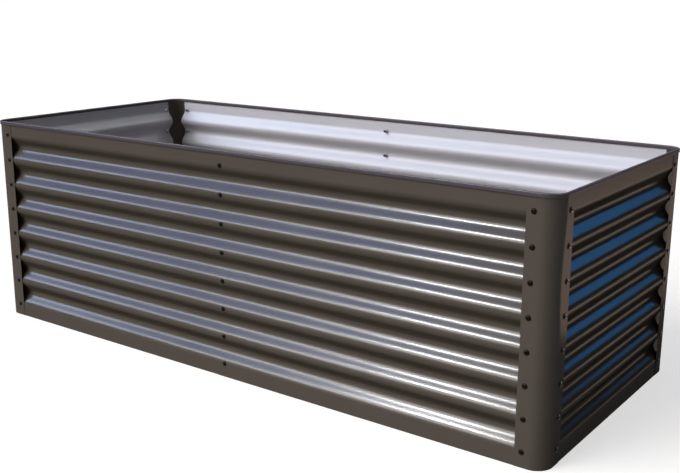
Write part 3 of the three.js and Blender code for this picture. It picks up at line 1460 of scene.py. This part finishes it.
@dataclass(frozen=True)
class SoftLight:
    """A far soft light, as wide as a softbox looks from the bed."""

    name: str
    gives: Lights
    azimuth: float  # degrees from -Y towards +X, of where the light stands
    elevation: float  # degrees above the floor
    width: float  # degrees across
    strength: float
    colour: str = "#FFFFFF"
    flagged: bool = False  # kept off the floor
    distance: float = 5.0  # such a light shines as from far away, wherever it stands

    def build(self) -> bpy.types.Object:
        """Adds the light.

        Returns:
            The lamp.
        """
        data = bpy.data.lights.new(self.name, "SUN")
        data.energy = self.strength
        data.angle = math.radians(self.width)
        data.color = linear(self.colour)[:3]
        lamp = bpy.data.objects.new(self.name, data)
        azimuth, elevation = math.radians(self.azimuth), math.radians(self.elevation)
        stand = Vector(
            (
                math.sin(azimuth) * math.cos(elevation),
                -math.cos(azimuth) * math.cos(elevation),
                math.sin(elevation),
            )
        )
        lamp.rotation_euler = stand.to_track_quat("Z", "Y").to_euler()
        lamp.location = self.distance * stand
        lamp.visible_glossy = self.gives is Lights.SHEEN
        lamp.visible_diffuse = self.gives is Lights.SHADE
        bpy.context.scene.collection.objects.link(lamp)
        return lamp


@dataclass(frozen=True)
class FloorPanel:
    """A softly lit panel that lies on the floor beside the bed and shows in its gloss alone."""

    name: str
    low: tuple[float, float]
    high: tuple[float, float]
    radiance: float  # where 1 shows as white
    colour: str
    thickness: float = 1 * MM

    def build(self) -> None:
        """Adds the light."""
        data = bpy.data.lights.new(self.name, "AREA")
        data.shape = "RECTANGLE"
        data.size, data.size_y = (top - bottom for bottom, top in zip(self.low, self.high))
        data.energy = self.radiance * math.pi * data.size * data.size_y
        data.color = linear(self.colour)[:3]
        lamp = bpy.data.objects.new(self.name, data)
        middle = [(bottom + top) / 2 for bottom, top in zip(self.low, self.high)]
        lamp.location = (*middle, self.thickness)
        lamp.rotation_euler = (math.pi, 0, 0)
        lamp.visible_camera = lamp.visible_diffuse = False
        bpy.context.scene.collection.objects.link(lamp)


@dataclass
class Studio:
    """The floor, the world, the lights and the camera. None of it belongs to the bed."""

    camera_place: tuple[float, float, float] = (1.69972, -2.20362, 1.01368)
    camera_turn: tuple[float, float, float] = (75.7616, -0.2369, 36.0468)
    camera_lens: float = 52.5512  # millimetres, as is the next
    camera_sensor: float = 36.0
    camera_sight: float = 400.0  # how far it sees
    floor_reach: float = 150.0
    floor_drop: float = 0.2 * MM  # keeps it just clear of the bed's lower edge
    floor_colour: str = "#B4B1B0"
    floor_bounce: str = "#7C7C7C"
    floor_glow: float = 0.62
    world_colour: str = "#E0E2E6"
    world_strength: float = 0.12
    lights: tuple[SoftLight, ...] = (
        # The two bright lines on each rib of the front, and their soft edges.
        SoftLight("key_softbox", Lights.SHEEN, -35, 38.5, 5, 2.6),
        SoftLight("key_halo", Lights.SHEEN, -33, 33, 20, 0.85),
        # The paler lines further left, and a low sheen under them.
        SoftLight("strip_right", Lights.SHEEN, -26, 24.5, 16, 0.85),
        SoftLight("strip_middle", Lights.SHEEN, -42, 26, 13, 0.8),
        SoftLight("strip_left", Lights.SHEEN, -57, 24, 13, 0.85, "#DCE8FF"),
        SoftLight("low_scrim", Lights.SHEEN, -32, 12, 26, 0.4),
        # The blue between the lines of the front, and the blue bands on the right end.
        SoftLight("cool_scrim", Lights.SHEEN, -62, 36, 38, 2.3, "#4A9EFF"),
        SoftLight("blue_backlight", Lights.SHEEN, 160, 20, 18, 0.8, "#48A8FF"),
        # Lines on the ribs from every other side.
        SoftLight("front_softbox", Lights.SHEEN, 5, 41, 10, 2.4),
        SoftLight("side_softbox", Lights.SHEEN, 92, 41, 10, 2.4),
        SoftLight("rear_right_softbox", Lights.SHEEN, 133, 41, 10, 2.4),
        SoftLight("rear_softbox", Lights.SHEEN, 190, 50, 12, 2.6),
        SoftLight("rear_left_softbox", Lights.SHEEN, 220, 41, 10, 2.4),
        SoftLight("far_side_softbox", Lights.SHEEN, -95, 41, 10, 2.4),
        # The plain light of every colour.
        SoftLight("front_fill", Lights.SHADE, -36, 32, 50, 4.2),
        SoftLight("cool_fill", Lights.SHADE, -64, 50, 40, 1.1, "#7DB6FF", flagged=True),
        SoftLight("overhead_fill", Lights.SHADE, 0, 88, 40, 0.4),
        SoftLight("rear_fill", Lights.SHADE, 205, 42, 40, 2.2, flagged=True),
    )
    panel: FloorPanel = FloorPanel("warm_panel", (1.15, 0.45), (2.15, 4.0), 5.5, "#FFDCC4")

    def build_floor(self) -> bpy.types.Object:
        """Adds a plain pale floor that gives little light back to the undersides of the ribs.

        Returns:
            The floor.
        """
        material, tree, output = new_material("studio_floor")
        path = add_node(tree, "ShaderNodeLightPath")
        seen = add_node(
            tree,
            "ShaderNodeMath",
            {0: path.outputs["Is Camera Ray"], 1: path.outputs["Is Glossy Ray"]},
            operation="MAXIMUM",
        )
        shown = add_node(
            tree,
            "ShaderNodeMath",
            {0: seen.outputs[0], 1: path.outputs["Is Transmission Ray"]},
            operation="MAXIMUM",
        )
        shade = add_node(
            tree,
            "ShaderNodeMix",
            {
                "Factor": shown.outputs[0],
                MIX_FIRST: linear(self.floor_bounce),
                MIX_SECOND: linear(self.floor_colour),
            },
            data_type="RGBA",
        )
        lit = add_node(tree, "ShaderNodeBsdfDiffuse", {"Color": shade.outputs[MIX_RESULT]})
        glow = add_node(
            tree,
            "ShaderNodeMath",
            {0: shown.outputs[0], 1: self.floor_glow},
            operation="MULTIPLY",
        )
        pale = add_node(tree, "ShaderNodeEmission", {"Strength": glow.outputs[0]})
        surface = add_node(tree, "ShaderNodeAddShader", {0: lit.outputs[0], 1: pale.outputs[0]})
        tree.links.new(surface.outputs["Shader"], output.inputs["Surface"])
        reach, level = self.floor_reach, -self.floor_drop
        corners = [(-reach, -reach), (reach, -reach), (reach, reach), (-reach, reach)]
        mesh = mesh_from("studio_floor", [(x, y, level) for x, y in corners], [(0, 1, 2, 3)])
        mesh.materials.append(material)
        floor = bpy.data.objects.new("studio_floor", mesh)
        bpy.context.scene.collection.objects.link(floor)
        return floor

    def build_world(self) -> None:
        """Sets a plain, dim, cool room."""
        world = bpy.data.worlds.new("studio_room")
        world.use_nodes = True
        world.node_tree.nodes.clear()
        tree = world.node_tree
        room = add_node(
            tree,
            "ShaderNodeBackground",
            {"Color": linear(self.world_colour), "Strength": self.world_strength},
        )
        add_node(tree, "ShaderNodeOutputWorld", {"Surface": room.outputs["Background"]})
        bpy.context.scene.world = world

    def build_camera(self) -> None:
        """Stands the camera where the photograph was taken from."""
        data = bpy.data.cameras.new("camera")
        data.sensor_fit = "HORIZONTAL"
        data.sensor_width = self.camera_sensor
        data.lens = self.camera_lens
        data.clip_end = self.camera_sight
        camera = bpy.data.objects.new("camera", data)
        camera.location = self.camera_place
        camera.rotation_euler = Euler([math.radians(turn) for turn in self.camera_turn], "XYZ")
        bpy.context.scene.collection.objects.link(camera)
        bpy.context.scene.camera = camera

    def build(self) -> None:
        """Adds everything, and keeps colours as they are written."""
        floor = self.build_floor()
        self.build_world()
        unlit = bpy.data.collections.new("kept_unlit")
        unlit.objects.link(floor)
        for member in unlit.collection_objects:
            member.light_linking.link_state = "EXCLUDE"
        for light in self.lights:
            lamp = light.build()
            if light.flagged:
                lamp.light_linking.receiver_collection = unlit
        self.panel.build()
        self.build_camera()
        bpy.context.scene.view_settings.view_transform = "Standard"


# ------------------------------------------------------------------------------------------------


def main() -> None:
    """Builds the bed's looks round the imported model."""
    logging.basicConfig(level=logging.INFO, format="%(name)s: %(message)s")
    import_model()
    Studio().build()
    sizes, finishes = BedSizes(), Finishes()
    CorrugatedPanels(sizes, finishes).build()
    CornerPosts(sizes, finishes).build()
    Fasteners(sizes, finishes).build()
    CrossBraces(sizes, finishes).build()
    RimEdging(sizes, finishes).build()


if __name__ == "__main__":
    main()
